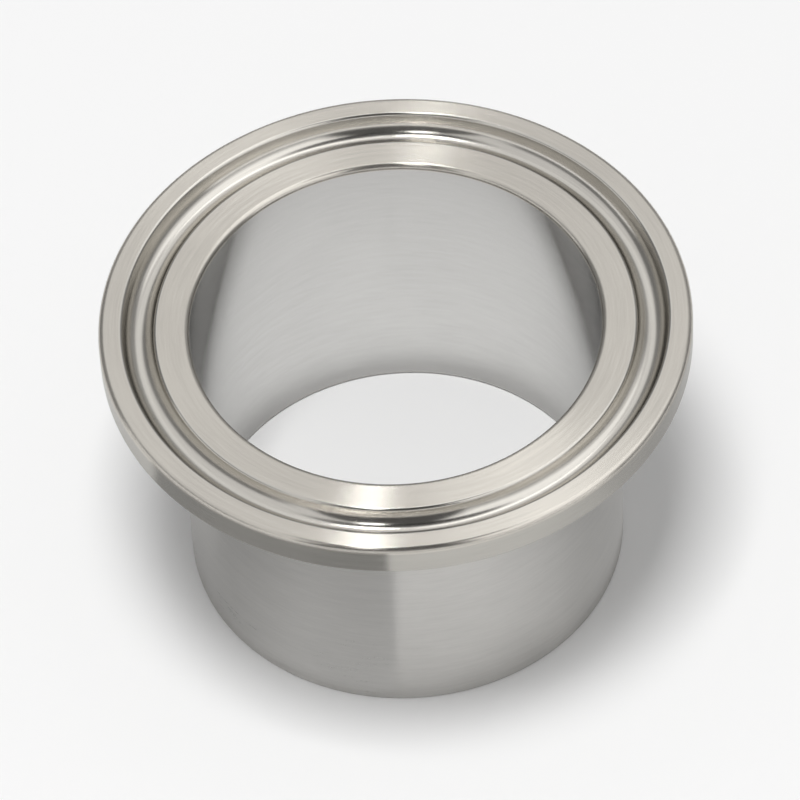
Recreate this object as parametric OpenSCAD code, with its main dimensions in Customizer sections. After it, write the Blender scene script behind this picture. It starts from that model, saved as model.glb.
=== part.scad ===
// Tank ferrule: a short weld tube that opens into a flange with a grooved sealing face.
// The weld end stands on z = 0, and the sealing face looks up along +Z.

/* [Tube] */
// Outside diameter of the weld tube
tube_od = 38.1; // [33:0.1:42]
// Thickness of the tube's wall
tube_wall = 1.5; // [1:0.05:2.5]
// Length from the weld end to the outer land of the sealing face
overall_length = 28.6; // [12.7:0.1:80]
// Rounding of the weld end's outer edge
weld_outer_round = 0.15; // [0.05:0.05:0.4]
// Rounding of the weld end's inner edge
weld_inner_round = 0.25; // [0.05:0.05:0.5]

/* [Flange] */
// How far the flange stands out from the tube all round
flange_overhang = 6.2; // [5:0.05:12]
// Thickness of the flange at its rim
rim_thickness = 2.85; // [2.2:0.05:4]
// Slope of the flange's back face, in degrees from the plane of the flange
back_slope = 20; // [10:1:30]
// Fillet where the back face runs into the tube
neck_fillet = 2.5; // [0.5:0.1:4]
// Rounding of the rim's front edge
rim_front_round = 0.5; // [0.1:0.05:0.8]
// Rounding of the rim's back edge
rim_back_round = 0.4; // [0.1:0.05:0.8]

/* [Sealing face] */
// Distance from the rim in to the middle of the groove
groove_inset = 3.45; // [2.5:0.05:5]
// Depth of the groove under the outer land
groove_depth = 1.6; // [1.2:0.05:2]
// Radius of the groove's rounded bottom
groove_bottom_radius = 1.25; // [0.9:0.05:1.4]
// Flare of each wall of the groove, in degrees from the ferrule's axis
groove_flare = 20; // [15:1:30]
// Rounding of both lips of the groove
groove_lip_round = 0.3; // [0.1:0.05:0.4]
// Drop of the inner land under the outer land
land_step = 0.5; // [0:0.05:0.6]
// Rounding where the inner land turns down into the bore
bore_mouth_round = 0.5; // [0.1:0.05:0.7]

/* [Hidden] */

// Steps round a full turn
$fn = 180;
// Largest turn of one step along an arc of the section, in degrees
arc_step = 10;

tube_radius = tube_od / 2;
bore_radius = tube_radius - tube_wall;
flange_radius = tube_radius + flange_overhang;
groove_radius = flange_radius - groove_inset;

// Heights of the faces
outer_land_z = overall_length;
inner_land_z = outer_land_z - land_step;
rim_back_z = outer_land_z - rim_thickness;
// Height where the back face would meet the tube without its fillet
neck_z = rim_back_z - flange_overhang * tan(back_slope);

// Depth that a lip's rounding takes from the wall under it
lip_depth = groove_lip_round * tan(45 - groove_flare / 2) * cos(groove_flare);
// The bottom's radius, no larger than fits between the two walls
groove_bottom = min(groove_bottom_radius, (groove_depth - land_step - lip_depth) / (1 - sin(groove_flare)));
// Height where the groove's walls would meet without its rounded bottom
groove_point_z = outer_land_z - groove_depth - groove_bottom * (1 / sin(groove_flare) - 1);

// Distance from the middle of the groove to its wall, at the height z
function groove_half_width(z) = (z - groove_point_z) * tan(groove_flare);

// Corners of the half section as [radius, height, rounding], from the bore outwards and back
section_corners = [
    [bore_radius, 0, weld_inner_round],
    [tube_radius, 0, weld_outer_round],
    [tube_radius, neck_z, neck_fillet],
    [flange_radius, rim_back_z, rim_back_round],
    [flange_radius, outer_land_z, rim_front_round],
    [groove_radius + groove_half_width(outer_land_z), outer_land_z, groove_lip_round],
    [groove_radius, groove_point_z, groove_bottom],
    [groove_radius - groove_half_width(inner_land_z), inner_land_z, groove_lip_round],
    [bore_radius, inner_land_z, bore_mouth_round],
];

// Place of a corner, without its rounding
function place(corner) = [corner[0], corner[1]];

// Direction of a vector, at length 1
function unit(v) = v / norm(v);

// A vector turned anticlockwise
function turned(v, angle) = [v[0] * cos(angle) - v[1] * sin(angle), v[0] * sin(angle) + v[1] * cos(angle)];

// 1 where the way from a to b is anticlockwise, and -1 where it is clockwise
function sense(a, b) = sign(a[0] * b[1] - a[1] * b[0]);

// Points of the arc that rounds a corner and touches the edges to its two neighbours
function rounded_corner(before, corner, after) =
    let (
        to_before = unit(place(before) - place(corner)),
        to_after = unit(place(after) - place(corner)),
        half_angle = acos(to_before * to_after) / 2,
        centre = place(corner) + unit(to_before + to_after) * corner[2] / sin(half_angle),
        start = place(corner) + to_before * corner[2] / tan(half_angle),
        turn = -sense(to_before, to_after) * (180 - 2 * half_angle),
        steps = ceil(abs(turn) / arc_step)
    )
    [for (i = [0:steps]) centre + turned(start - centre, turn * i / steps)];

// Points of a closed outline with each of its corners rounded
function rounded_outline(corners) =
    let (n = len(corners))
    [for (i = [0:n - 1]) each rounded_corner(corners[(i + n - 1) % n], corners[i], corners[(i + 1) % n])];

// The whole ferrule, turned from its half section
module ferrule() {
    color([0.74, 0.73, 0.70])
    rotate_extrude()
    polygon(rounded_outline(section_corners));
}

ferrule();
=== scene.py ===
"""Looks of the tank ferrule: finely turned and satin steel, a pale floor, soft studio light and the camera."""

import math

import bpy
import numpy as np
from mathutils import Matrix, Vector


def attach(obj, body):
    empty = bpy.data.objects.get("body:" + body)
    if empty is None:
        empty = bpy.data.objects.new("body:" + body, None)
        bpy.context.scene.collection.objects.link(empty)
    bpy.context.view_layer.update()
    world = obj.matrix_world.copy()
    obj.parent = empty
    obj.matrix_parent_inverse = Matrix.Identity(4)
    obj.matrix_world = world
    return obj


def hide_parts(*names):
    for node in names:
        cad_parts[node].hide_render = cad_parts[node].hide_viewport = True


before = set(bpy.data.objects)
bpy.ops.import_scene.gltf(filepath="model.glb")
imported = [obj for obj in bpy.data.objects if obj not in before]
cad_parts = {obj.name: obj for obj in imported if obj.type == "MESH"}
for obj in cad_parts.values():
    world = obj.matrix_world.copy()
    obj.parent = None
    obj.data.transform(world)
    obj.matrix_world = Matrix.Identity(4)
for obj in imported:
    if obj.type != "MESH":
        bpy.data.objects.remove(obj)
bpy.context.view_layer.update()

MM = 0.001

# Sizes of the section, in millimetres, as the solid has them
OVERALL_LENGTH = 28.6
TUBE_RADIUS = 19.05
BORE_RADIUS = 17.55
FLANGE_RADIUS = 25.25
RIM_THICKNESS = 2.85
BACK_SLOPE = 20.0
NECK_FILLET = 2.5
RIM_FRONT_ROUND = 0.5
RIM_BACK_ROUND = 0.4
WELD_OUTER_ROUND = 0.15
WELD_INNER_ROUND = 0.25
GROOVE_RADIUS = 21.8
GROOVE_DEPTH = 1.6
GROOVE_BOTTOM_RADIUS = 1.25
GROOVE_FLARE = 20.0
GROOVE_LIP_ROUND = 0.3
LAND_STEP = 0.5
BORE_MOUTH_ROUND = 0.5

# Fineness of the visual mesh
STEPS_ROUND = 384
ARC_STEP = 5.0

# The photograph's view of the middle of the sealing face: angles in degrees, lengths in metres
VIEW_ELEVATION = 49.63
VIEW_DISTANCE = 0.509
VIEW_ROLL = -3.46
PHOTO_LENS = 90.0
SENSOR = 36.0
# How much closer the picture is cropped than the photograph, which also shows other things
FRAMING = 3.0
# Height of the picture's centre on the ferrule's axis
AIM_HEIGHT = 0.0175


def rounded_section():
    """Closed half section as points [radius, height] in millimetres, the outward normal of each, and its finish."""
    slope = math.radians(BACK_SLOPE)
    flare = math.radians(GROOVE_FLARE)
    inner_land = OVERALL_LENGTH - LAND_STEP
    rim_back = OVERALL_LENGTH - RIM_THICKNESS
    neck = rim_back - (FLANGE_RADIUS - TUBE_RADIUS) * math.tan(slope)
    groove_point = OVERALL_LENGTH - GROOVE_DEPTH - GROOVE_BOTTOM_RADIUS * (1 / math.sin(flare) - 1)

    def half_width(z):
        return (z - groove_point) * math.tan(flare)

    corners = [
        (BORE_RADIUS, 0, WELD_INNER_ROUND, "tube"),
        (TUBE_RADIUS, 0, WELD_OUTER_ROUND, "tube"),
        (TUBE_RADIUS, neck, NECK_FILLET, "back"),
        (FLANGE_RADIUS, rim_back, RIM_BACK_ROUND, "rim"),
        (FLANGE_RADIUS, OVERALL_LENGTH, RIM_FRONT_ROUND, "face"),
        (GROOVE_RADIUS + half_width(OVERALL_LENGTH), OVERALL_LENGTH, GROOVE_LIP_ROUND, "groove"),
        (GROOVE_RADIUS, groove_point, GROOVE_BOTTOM_RADIUS, "groove"),
        (GROOVE_RADIUS - half_width(inner_land), inner_land, GROOVE_LIP_ROUND, "groove"),
        (BORE_RADIUS, inner_land, BORE_MOUTH_ROUND, "face"),
    ]
    straights = ["tube", "tube", "back", "rim", "face", "groove", "groove", "face", "bore"]
    points, normals, finishes = [], [], []
    for i, (radius, height, rounding, finish) in enumerate(corners):
        here = np.array([radius, height])
        to_before = np.array(corners[i - 1][:2]) - here
        to_after = np.array(corners[(i + 1) % len(corners)][:2]) - here
        to_before /= np.linalg.norm(to_before)
        to_after /= np.linalg.norm(to_after)
        half = math.acos(float(to_before @ to_after)) / 2
        bisector = (to_before + to_after) / np.linalg.norm(to_before + to_after)
        centre = here + bisector * rounding / math.sin(half)
        convex = to_before[0] * to_after[1] - to_before[1] * to_after[0] < 0
        start = here + to_before * rounding / math.tan(half) - centre
        turn = (math.pi - 2 * half) * (1 if convex else -1)
        steps = max(4, math.ceil(math.degrees(abs(turn)) / ARC_STEP))
        for k in range(steps + 1):
            c, s = math.cos(turn * k / steps), math.sin(turn * k / steps)
            spoke = np.array([c * start[0] - s * start[1], s * start[0] + c * start[1]])
            points.append(centre + spoke)
            normals.append(spoke / rounding * (1 if convex else -1))
            finishes.append(finish)
        finishes[-1] = straights[i]
    return np.array(points), np.array(normals), finishes


def lathe(name, points, normals, finishes, finish_order):
    """Turns the section round the Z axis; the band after each point gets that point's finish."""
    n = len(points)
    angles = np.linspace(0, 2 * math.pi, STEPS_ROUND, endpoint=False)
    circle = np.stack([np.cos(angles), np.sin(angles)], 1)

    def turned(profile):
        ring = np.repeat(profile[None], STEPS_ROUND, 0)
        return np.concatenate([circle[:, None] * ring[:, :, :1], ring[:, :, 1:]], 2).reshape(-1, 3)

    verts = turned(points) * MM
    faces, slots = [], []
    for a in range(STEPS_ROUND):
        b = (a + 1) % STEPS_ROUND
        for k in range(n):
            m = (k + 1) % n
            faces.append((a * n + k, b * n + k, b * n + m, a * n + m))
            slots.append(finish_order.index(finishes[k]))
    mesh = bpy.data.meshes.new(name)
    mesh.from_pydata(verts.tolist(), [], faces)
    mesh.polygons.foreach_set("material_index", slots)
    mesh.polygons.foreach_set("use_smooth", [True] * len(faces))
    mesh.normals_split_custom_set_from_vertices(turned(normals).tolist())
    piece = bpy.data.objects.new(name, mesh)
    bpy.context.scene.collection.objects.link(piece)
    return piece


class Nodes:
    """Short calls for building a node tree."""

    def __init__(self, tree):
        self.tree = tree
        tree.nodes.clear()

    def add(self, kind, **settings):
        node = self.tree.nodes.new(kind)
        for key, value in settings.items():
            setattr(node, key, value)
        return node

    def link(self, source, target):
        self.tree.links.new(source, target)

    def set(self, socket, value):
        if isinstance(value, bpy.types.NodeSocket):
            self.link(value, socket)
        else:
            socket.default_value = value

    def math(self, operation, *values, clamp=False):
        node = self.add("ShaderNodeMath", operation=operation, use_clamp=clamp)
        for socket, value in zip(node.inputs, values):
            self.set(socket, value)
        return node.outputs[0]

    def vector(self, x, y, z):
        node = self.add("ShaderNodeCombineXYZ")
        for socket, value in zip(node.inputs, (x, y, z)):
            self.set(socket, value)
        return node.outputs[0]

    def noise(self, vector, scale, detail=2.0, roughness=0.5):
        node = self.add("ShaderNodeTexNoise")
        self.set(node.inputs["Vector"], vector)
        node.inputs["Scale"].default_value = scale
        node.inputs["Detail"].default_value = detail
        node.inputs["Roughness"].default_value = roughness
        return node.outputs["Fac"]

    def ramp(self, value, low, high, to_low, to_high, smooth=False):
        node = self.add("ShaderNodeMapRange", interpolation_type="SMOOTHSTEP" if smooth else "LINEAR")
        for socket, item in zip(node.inputs, (value, low, high, to_low, to_high)):
            self.set(socket, item)
        return node.outputs[0]

    def mix(self, factor, a, b):
        node = self.add("ShaderNodeMix", data_type="RGBA")
        self.set(node.inputs[0], factor)
        self.set(node.inputs[6], a)
        self.set(node.inputs[7], b)
        return node.outputs[2]


def steel(name, colour, edge, roughness, anisotropy, groove_pitch, groove_depth, grain_length, contrast):
    """Steel worked in circles about Z: rings of a pitch and depth in millimetres, broken at a length in degrees.

    The edge tone darkens it where it is seen at a grazing angle.
    """
    material = bpy.data.materials.new(name)
    material.use_nodes = True
    n = Nodes(material.node_tree)
    place = n.add("ShaderNodeTexCoord").outputs["Object"]
    split = n.add("ShaderNodeSeparateXYZ")
    n.link(place, split.inputs[0])
    x, y, z = split.outputs
    radius = n.math("SQRT", n.math("ADD", n.math("MULTIPLY", x, x), n.math("MULTIPLY", y, y)))
    # Direction from the axis, so that the grain closes on itself all round
    across = n.math("DIVIDE", x, radius)
    along = n.math("DIVIDE", y, radius)
    turns = 57.3 / grain_length
    ring = n.vector(
        n.math("MULTIPLY", across, turns),
        n.math("MULTIPLY", along, turns),
        n.math("MULTIPLY", n.math("ADD", radius, z), 1 / (groove_pitch * MM)),
    )
    grain = n.noise(ring, 1.0, detail=5.0, roughness=0.75)
    slow = n.noise(n.vector(x, y, z), 90.0, detail=2.0)
    shade = n.math("ADD", n.ramp(grain, 0.3, 0.7, -contrast, contrast), n.ramp(slow, 0.3, 0.7, -0.3, 0.3))
    dark = tuple(c * 0.91 for c in colour) + (1.0,)
    light = tuple(min(1.0, c * 1.08) for c in colour) + (1.0,)
    base = n.mix(n.math("ADD", shade, 0.5, clamp=True), dark, light)
    rough = n.math("ADD", n.ramp(slow, 0.3, 0.7, -0.02, 0.02), n.ramp(grain, 0.3, 0.7, roughness - 0.02, roughness + 0.02))
    bump = n.add("ShaderNodeBump")
    bump.inputs["Strength"].default_value = 1.0
    bump.inputs["Distance"].default_value = groove_depth * MM
    n.link(grain, bump.inputs["Height"])
    shader = n.add("ShaderNodeBsdfPrincipled")
    n.link(base, shader.inputs["Base Color"])
    n.link(rough, shader.inputs["Roughness"])
    n.link(bump.outputs[0], shader.inputs["Normal"])
    shader.inputs["Metallic"].default_value = 1.0
    shader.inputs["Specular Tint"].default_value = (edge, edge, edge, 1.0)
    shader.inputs["Anisotropic"].default_value = anisotropy
    # The tangent runs round the axis, and a quarter turn lays it across the grain
    shader.inputs["Anisotropic Rotation"].default_value = 0.25
    tangent = n.add("ShaderNodeTangent", direction_type="RADIAL", axis="Z")
    n.link(tangent.outputs[0], shader.inputs["Tangent"])
    n.link(shader.outputs[0], n.add("ShaderNodeOutputMaterial").inputs["Surface"])
    return material


FINISHES = {
    "face": steel("turned_face", (0.60, 0.57, 0.52), 0.9, 0.21, 1.0, 0.3, 0.0006, 20.0, 0.5),
    "groove": steel("turned_groove", (0.59, 0.567, 0.525), 0.4, 0.165, 0.9, 0.3, 0.0004, 20.0, 0.4),
    "rim": steel("turned_rim", (0.49, 0.475, 0.44), 0.9, 0.22, 0.9, 0.3, 0.0006, 20.0, 0.45),
    "back": steel("turned_back", (0.58, 0.565, 0.53), 0.9, 0.28, 0.8, 0.3, 0.001, 20.0, 0.45),
    "tube": steel("satin_tube", (0.565, 0.555, 0.535), 0.85, 0.30, 0.95, 0.4, 0.0006, 12.0, 0.32),
    "bore": steel("satin_bore", (0.465, 0.46, 0.448), 0.72, 0.18, 0.93, 0.5, 0.0004, 12.0, 0.25),
}

points, normals, finishes = rounded_section()
ferrule = lathe("turned_ferrule", points, normals, finishes, list(FINISHES))
for material in FINISHES.values():
    ferrule.data.materials.append(material)
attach(ferrule, "root")
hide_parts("ferrule")


# Studio: lamps and the world light the floor, and cards round the ferrule are seen only by its reflections
CARD_DISTANCE = 0.8


def glowing_sheet(name, verts, faces, sheet, level, feather):
    """Sheet that glows at its level, seen by reflections alone, and fades out at its edges.

    The sheet's places run from 0 to 1 both ways, and the feather is a part of that.
    """
    mesh = bpy.data.meshes.new(name)
    mesh.from_pydata(verts, [], faces)
    layer = mesh.uv_layers.new(name="sheet")
    for loop in mesh.loops:
        layer.data[loop.index].uv = sheet[loop.vertex_index]
    obj = bpy.data.objects.new(name, mesh)
    bpy.context.scene.collection.objects.link(obj)
    material = bpy.data.materials.new(name)
    material.use_nodes = True
    n = Nodes(material.node_tree)
    split = n.add("ShaderNodeSeparateXYZ")
    n.link(n.add("ShaderNodeTexCoord").outputs["UV"], split.inputs[0])
    mask = 1.0
    for axis, width in zip(split.outputs[:2], feather):
        if width > 0:
            inset = n.math("SUBTRACT", 0.5, n.math("ABSOLUTE", n.math("SUBTRACT", axis, 0.5)))
            mask = n.math("MULTIPLY", mask, n.ramp(inset, 0.0, width, 0.0, 1.0, smooth=True))
    light = n.add("ShaderNodeEmission")
    light.inputs["Strength"].default_value = level
    blend = n.add("ShaderNodeMixShader")
    n.set(blend.inputs[0], mask)
    n.link(n.add("ShaderNodeBsdfTransparent").outputs[0], blend.inputs[1])
    n.link(light.outputs[0], blend.inputs[2])
    n.link(blend.outputs[0], n.add("ShaderNodeOutputMaterial").inputs["Surface"])
    mesh.materials.append(material)
    obj.visible_camera = False
    obj.visible_diffuse = False
    obj.visible_shadow = False
    return obj


def card(name, azimuths, elevations, level, feather, order):
    """Part of a sphere between two azimuths and two elevations, in degrees, with azimuth 0 behind the ferrule.

    It fades out over the feather, and a card of a higher order lies before the others.
    """
    soft_a, soft_e = feather
    a0, a1 = azimuths[0] - soft_a / 2, azimuths[1] + soft_a / 2
    e0, e1 = elevations[0] - soft_e / 2, elevations[1] + soft_e / 2
    columns = max(4, round((a1 - a0) / 4))
    rows = max(4, round((e1 - e0) / 4))
    distance = CARD_DISTANCE * (1 - 0.05 * order)
    verts, sheet = [], []
    for j in range(rows + 1):
        e = math.radians(e0 + (e1 - e0) * j / rows)
        for i in range(columns + 1):
            a = math.radians(a0 + (a1 - a0) * i / columns)
            verts.append((
                distance * math.sin(a) * math.cos(e),
                distance * math.cos(a) * math.cos(e),
                distance * math.sin(e),
            ))
            sheet.append((i / columns, j / rows))
    faces = []
    for j in range(rows):
        for i in range(columns):
            k = j * (columns + 1) + i
            faces.append((k, k + 1, k + columns + 2, k + columns + 1))
    return glowing_sheet(name, verts, faces, sheet, level, (soft_a / (a1 - a0), soft_e / (e1 - e0)))


card("low_grey", (0, 360), (-10, 33), 0.25, (0, 8), 1)
card("upper_soft", (0, 360), (33, 78), 0.84, (0, 8), 1)
card("front_low_soft", (110, 286), (9, 26), 1.3, (10, 4), 2)
card("right_softbox", (40, 151), (46, 80), 1.45, (8, 8), 2)
card("back_soft", (-24, 26), (41, 72), 0.97, (14, 6), 5)
card("far_dark", (-35, 56), (14, 42), 0.36, (15, 6), 4)
card("left_dark", (233, 343), (26, 46), 0.22, (15, 6), 4)
card("front_dark", (157, 218), (28, 82), 0.11, (6, 6), 5)
card("top_dark", (0, 360), (76, 90), 0.02, (0, 6), 6)
card("lamp_back", (1.5, 30), (59, 70), 2.4, (6, 4), 7)
card("lamp_face", (-10.5, -4.5), (67.5, 72.5), 32.0, (2, 1), 8)
card("lamp_front", (-161, -143), (72.7, 77.3), 12.0, (6, 1.5), 7)


def floor_card(name, azimuths, radii, height, level, feather, outer_fade=0.0):
    """Flat sector just over the floor, between two azimuths in degrees and two radii in millimetres.

    It fades out over the feather, in degrees, at its two ends, and over a part of its width at the outer radius.
    Its glow is painted shade or painted light on the floor, and only the steel's reflections see it.
    """
    a0, a1 = azimuths[0] - feather / 2, azimuths[1] + feather / 2
    columns = 48
    verts, sheet = [], []
    for i in range(columns + 1):
        a = math.radians(a0 + (a1 - a0) * i / columns)
        for radius, place in zip(radii, (0.5, 1.0)):
            verts.append((radius * MM * math.sin(a), radius * MM * math.cos(a), height * MM))
            sheet.append((i / columns, place))
    faces = [(2 * i, 2 * i + 1, 2 * i + 3, 2 * i + 2) for i in range(columns)]
    return glowing_sheet(name, verts, faces, sheet, level, (feather / (a1 - a0), outer_fade / 2))


# Painted shade on the floor as the tube and rim reflect it: darker sectors at the left, front left and right front
floor_card("left_front_painted_shade", (186, 262), (19.8, 38), 0.3, 0.66, 2.0)
floor_card("left_painted_shade", (230, 285), (19.8, 38), 0.35, 0.47, 35.0)
floor_card("left_front_painted_deep_shade", (186, 262), (38, 120), 0.3, 0.38, 2.0)
floor_card("right_front_painted_shade", (70, 128), (19.8, 120), 0.3, 0.57, 60.0)
# Painted light on the floor inside the bore, brighter than the floor, seen only in the bore's reflections
floor_card("bore_floor_painted_light", (0, 360), (0.5, 17.2), 0.3, 1.22, 0.0, 0.2)


# How far the floor lies under the weld end, so that the two never share a plane
FLOOR_GAP = 0.02
FLOOR_RADIUS = 3000.0
# How far the floor reaches under the tube's wall from both sides; between them the weld end shows from below
FLOOR_TUCK = 0.35


def make_floor():
    """Pale floor in two parts, within and around the tube, clear from below so that the underside can be seen."""
    steps = 96
    rings = (0.1, BORE_RADIUS + FLOOR_TUCK, TUBE_RADIUS - FLOOR_TUCK, FLOOR_RADIUS)
    verts = []
    for radius in rings:
        for i in range(steps):
            a = 2 * math.pi * i / steps
            verts.append((radius * math.cos(a) * MM, radius * math.sin(a) * MM, -FLOOR_GAP * MM))
    faces = []
    for first in (0, 2 * steps):
        for i in range(steps):
            k = (i + 1) % steps
            faces.append((first + i, first + steps + i, first + steps + k, first + k))
    faces.append(tuple(range(steps)))
    mesh = bpy.data.meshes.new("floor")
    mesh.from_pydata(verts, [], faces)
    floor = bpy.data.objects.new("floor", mesh)
    bpy.context.scene.collection.objects.link(floor)
    material = bpy.data.materials.new("pale_floor")
    material.use_nodes = True
    n = Nodes(material.node_tree)
    shader = n.add("ShaderNodeBsdfPrincipled")
    shader.inputs["Base Color"].default_value = (0.94, 0.94, 0.94, 1.0)
    shader.inputs["Roughness"].default_value = 0.9
    shader.inputs["Specular IOR Level"].default_value = 0.1
    sides = n.add("ShaderNodeMixShader")
    n.link(n.add("ShaderNodeNewGeometry").outputs["Backfacing"], sides.inputs[0])
    n.link(shader.outputs[0], sides.inputs[1])
    n.link(n.add("ShaderNodeBsdfTransparent").outputs[0], sides.inputs[2])
    n.link(sides.outputs[0], n.add("ShaderNodeOutputMaterial").inputs["Surface"])
    mesh.materials.append(material)


make_floor()


# Level of the world on the floor, and on what looks straight at it
AMBIENT_LEVEL = 0.5
BACKGROUND_LEVEL = 1.0


def make_world():
    world = bpy.data.worlds.new("studio")
    world.use_nodes = True
    n = Nodes(world.node_tree)
    path = n.add("ShaderNodeLightPath")
    seen = n.math("MAXIMUM", path.outputs["Is Camera Ray"], path.outputs["Is Glossy Ray"])
    seen = n.math("MAXIMUM", seen, path.outputs["Is Transmission Ray"])
    background = n.add("ShaderNodeBackground")
    n.link(n.ramp(seen, 0.0, 1.0, AMBIENT_LEVEL, BACKGROUND_LEVEL), background.inputs["Strength"])
    n.link(background.outputs[0], n.add("ShaderNodeOutputWorld").inputs["Surface"])
    bpy.context.scene.world = world


make_world()


def lamp(name, azimuth, elevation, distance, size, power):
    light = bpy.data.lights.new(name, "AREA")
    light.shape = "RECTANGLE"
    light.size, light.size_y = size
    light.energy = power
    obj = bpy.data.objects.new(name, light)
    a, e = math.radians(azimuth), math.radians(elevation)
    obj.location = Vector((math.sin(a) * math.cos(e), math.cos(a) * math.cos(e), math.sin(e))) * distance
    obj.rotation_euler = (-obj.location).to_track_quat("-Z", "Y").to_euler()
    obj.visible_camera = False
    obj.visible_glossy = False
    bpy.context.scene.collection.objects.link(obj)
    return obj


lamp("key", -160.0, 80.0, 1.0, (0.3, 0.3), 6.3)


def make_camera():
    e = math.radians(VIEW_ELEVATION)
    face = Vector((0.0, 0.0, OVERALL_LENGTH * MM))
    place = face + Vector((0.0, -math.cos(e), math.sin(e))) * VIEW_DISTANCE
    data = bpy.data.cameras.new("camera")
    data.sensor_width = SENSOR
    data.lens = PHOTO_LENS * FRAMING
    data.clip_start = 0.01
    camera = bpy.data.objects.new("camera", data)
    aim = Vector((0.0, 0.0, AIM_HEIGHT)) - place
    turn = aim.to_track_quat("-Z", "Y").to_matrix() @ Matrix.Rotation(math.radians(VIEW_ROLL), 3, "Z")
    camera.matrix_world = Matrix.Translation(place) @ turn.to_4x4()
    bpy.context.scene.collection.objects.link(camera)
    bpy.context.scene.camera = camera


make_camera()

bpy.context.scene.view_settings.view_transform = "Standard"
